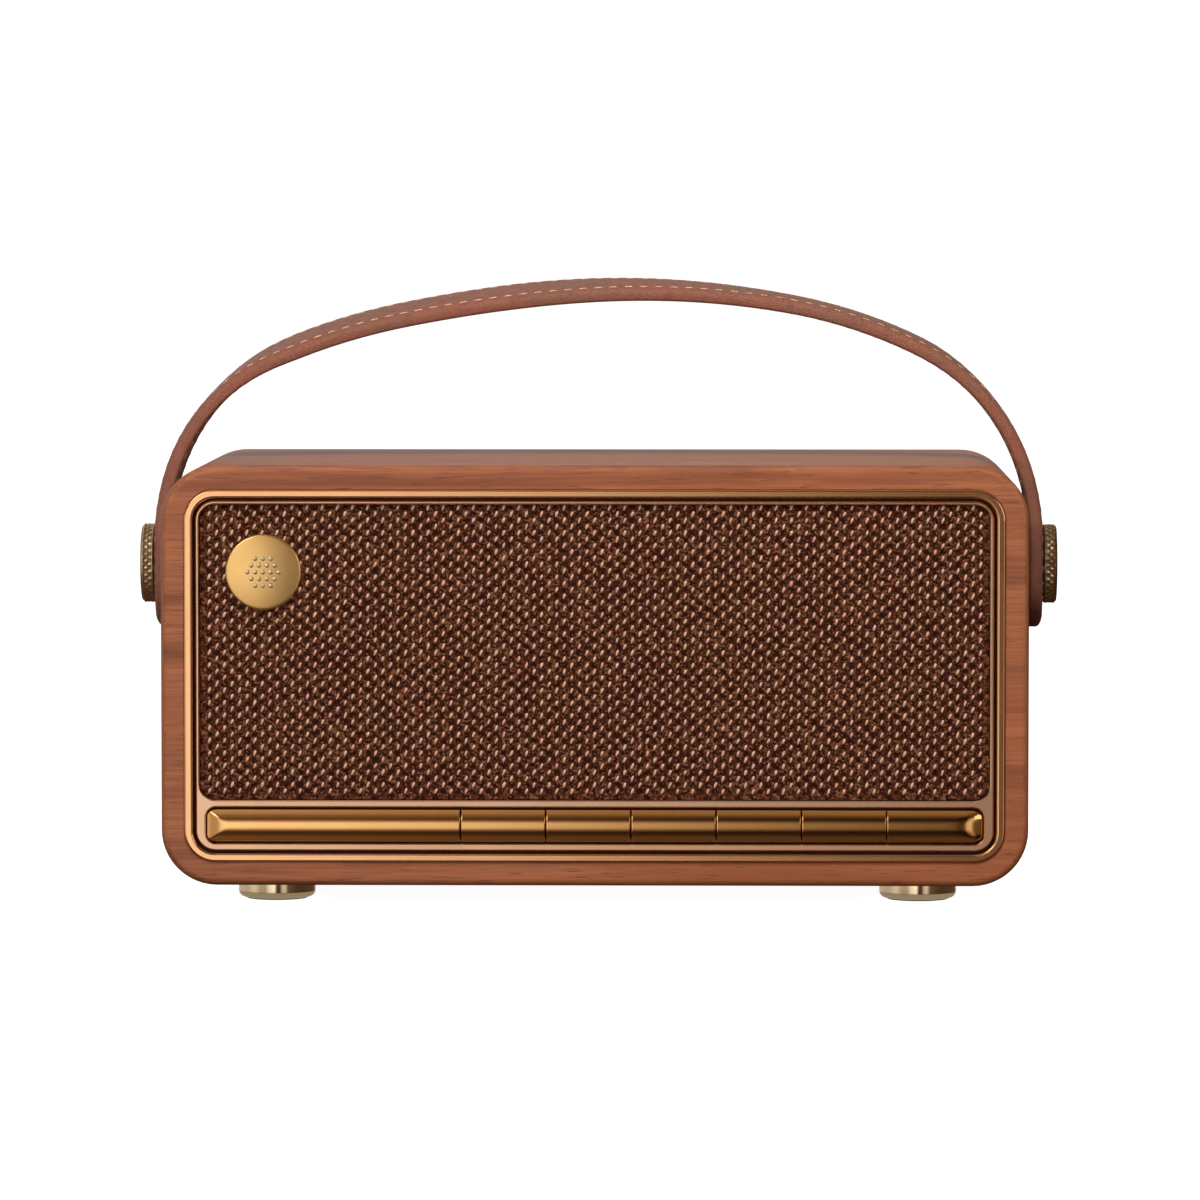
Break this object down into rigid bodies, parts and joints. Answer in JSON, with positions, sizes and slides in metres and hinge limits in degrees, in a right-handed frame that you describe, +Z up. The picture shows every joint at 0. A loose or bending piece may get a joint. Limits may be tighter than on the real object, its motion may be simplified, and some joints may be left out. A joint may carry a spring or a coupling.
{
  "type": "portable radio speaker",
  "caption": "Portable radio speaker: rounded wooden cabinet, gilt front frame with woven grille and push keys, arched leather handle on side knobs, disc feet.",
  "frame": {"origin": "on the table, under the middle of the cabinet", "axes": "+Z up, the front (grille and keys) faces -Y, +X to the right of someone facing the front"},
  "size_m": [0.2602, 0.1314, 0.1744],
  "materials": {
    "walnut": "satin lacquered walnut veneer",
    "block_wood": "raw softwood",
    "gilt_frame": "satin rose gold",
    "gilt_plate": "satin rose gold",
    "gilt_keys": "mirror polished dark gold",
    "badge_gold": "fine brushed gold",
    "grille_fabric": "woven, two tone",
    "black_plastic": "fine matt grain",
    "baffle_plastic": "matt dark brown",
    "circuit_board": "solder mask",
    "chip_plastic": "matt",
    "capacitor_sleeve": "shrink sleeve",
    "cell_wrap": "shrink sleeve",
    "bare_aluminium": "as extruded",
    "steel": "zinc plated",
    "black_steel": "black coated",
    "ferrite": "dark ferrite and plated steel",
    "cone_paper": "pressed paper pulp",
    "soft_rubber": "matt",
    "foam": "closed cell foam",
    "dome_silk": "doped silk",
    "strap_leather": "smooth, painted edges, stitched",
    "knob_brass": "antique, diamond knurled",
    "foot_brass": "polished",
    "plain_brass": "turned"
  },
  "bodies": {
    "cabinet": {"badge": "badge_gold", "battery_cells": "cell_wrap", "battery_cradle": "black_plastic", "board_capacitors": "capacitor_sleeve", "board_chips": "chip_plastic", "board_standoffs": "plain_brass", "cabinet": "walnut", "corner_blocks": "block_wood", "driver_screws": "black_steel", "face_plate": "gilt_plate", "foot_front_left": "foot_brass", "foot_front_right": "foot_brass", "foot_pads": "soft_rubber", "foot_rear_left": "foot_brass", "foot_rear_right": "foot_brass", "foot_screws": "steel", "front_baffle": "baffle_plastic", "front_frame": "gilt_frame", "grille_cloth": "grille_fabric", "grille_frame": "black_plastic", "heat_sink": "bare_aluminium", "io_board": "circuit_board", "jack_socket": "chip_plastic", "key_bar": "gilt_keys", "key_board": "circuit_board", "key_board_screws": "steel", "key_switches": "chip_plastic", "main_board": "circuit_board", "port_tube": "black_plastic", "rear_gasket": "foam", "rear_panel": "black_plastic", "rear_screws": "black_steel", "socket_plate": "gilt_plate", "stud_inserts": "plain_brass", "tweeter_left_frame": "black_steel", "tweeter_right_frame": "black_steel", "usb_socket": "steel", "woofer_basket": "black_steel", "woofer_magnet": "ferrite", "woofer_spider": "foam", "woofer_surround": "soft_rubber"},
    "handle": {"handle_strap": "strap_leather", "strap_lining": "strap_leather", "strap_core": "steel", "strap_washers": "plain_brass"},
    "knob_left": {"knob_left": "knob_brass", "knob_stud_left": "steel"},
    "knob_right": {"knob_right": "knob_brass", "knob_stud_right": "steel"},
    "woofer_diaphragm": {"woofer_cone": "cone_paper", "woofer_dust_cap": "cone_paper"},
    "tweeter_left_diaphragm": {"tweeter_left_dome": "dome_silk"},
    "tweeter_right_diaphragm": {"tweeter_right_dome": "dome_silk"},
    "key_1": {"key_1": "gilt_keys"},
    "key_2": {"key_2": "gilt_keys"},
    "key_3": {"key_3": "gilt_keys"},
    "key_4": {"key_4": "gilt_keys"},
    "key_5": {"key_5": "gilt_keys"},
    "key_6": {"key_6": "gilt_keys"}
  },
  "joints": [
    {"name": "handle_tilt", "type": "hinge", "parent": "cabinet", "child": "handle", "pos_m": [0, 0, 0.0932], "axis": [1, 0, 0], "range_deg": [-14, 14]},
    {"name": "knob_left_turn", "type": "hinge", "parent": "cabinet", "child": "knob_left", "pos_m": [-0.128, 0, 0.0932], "axis": [-1, 0, 0], "continuous": true},
    {"name": "knob_right_turn", "type": "hinge", "parent": "cabinet", "child": "knob_right", "pos_m": [0.128, 0, 0.0932], "axis": [1, 0, 0], "continuous": true},
    {"name": "key_1_press", "type": "slide", "parent": "cabinet", "child": "key_1", "axis": [0, 1, 0], "range_m": [0, 0.001], "stiffness_N_per_m": 600, "springref_m": -0.001},
    {"name": "key_2_press", "type": "slide", "parent": "cabinet", "child": "key_2", "axis": [0, 1, 0], "range_m": [0, 0.001], "stiffness_N_per_m": 600, "springref_m": -0.001},
    {"name": "key_3_press", "type": "slide", "parent": "cabinet", "child": "key_3", "axis": [0, 1, 0], "range_m": [0, 0.001], "stiffness_N_per_m": 600, "springref_m": -0.001},
    {"name": "key_4_press", "type": "slide", "parent": "cabinet", "child": "key_4", "axis": [0, 1, 0], "range_m": [0, 0.001], "stiffness_N_per_m": 600, "springref_m": -0.001},
    {"name": "key_5_press", "type": "slide", "parent": "cabinet", "child": "key_5", "axis": [0, 1, 0], "range_m": [0, 0.001], "stiffness_N_per_m": 600, "springref_m": -0.001},
    {"name": "key_6_press", "type": "slide", "parent": "cabinet", "child": "key_6", "axis": [0, 1, 0], "range_m": [0, 0.001], "stiffness_N_per_m": 600, "springref_m": -0.001},
    {"name": "woofer_stroke", "type": "slide", "parent": "cabinet", "child": "woofer_diaphragm", "axis": [0, 1, 0], "range_m": [-0.003, 0.003], "stiffness_N_per_m": 1500, "deforming": ["woofer_surround", "woofer_spider"]},
    {"name": "tweeter_left_stroke", "type": "slide", "parent": "cabinet", "child": "tweeter_left_diaphragm", "axis": [0, 1, 0], "range_m": [-0.0003, 0.0003], "stiffness_N_per_m": 2500},
    {"name": "tweeter_right_stroke", "type": "slide", "parent": "cabinet", "child": "tweeter_right_diaphragm", "axis": [0, 1, 0], "range_m": [-0.0003, 0.0003], "stiffness_N_per_m": 2500}
  ]
}
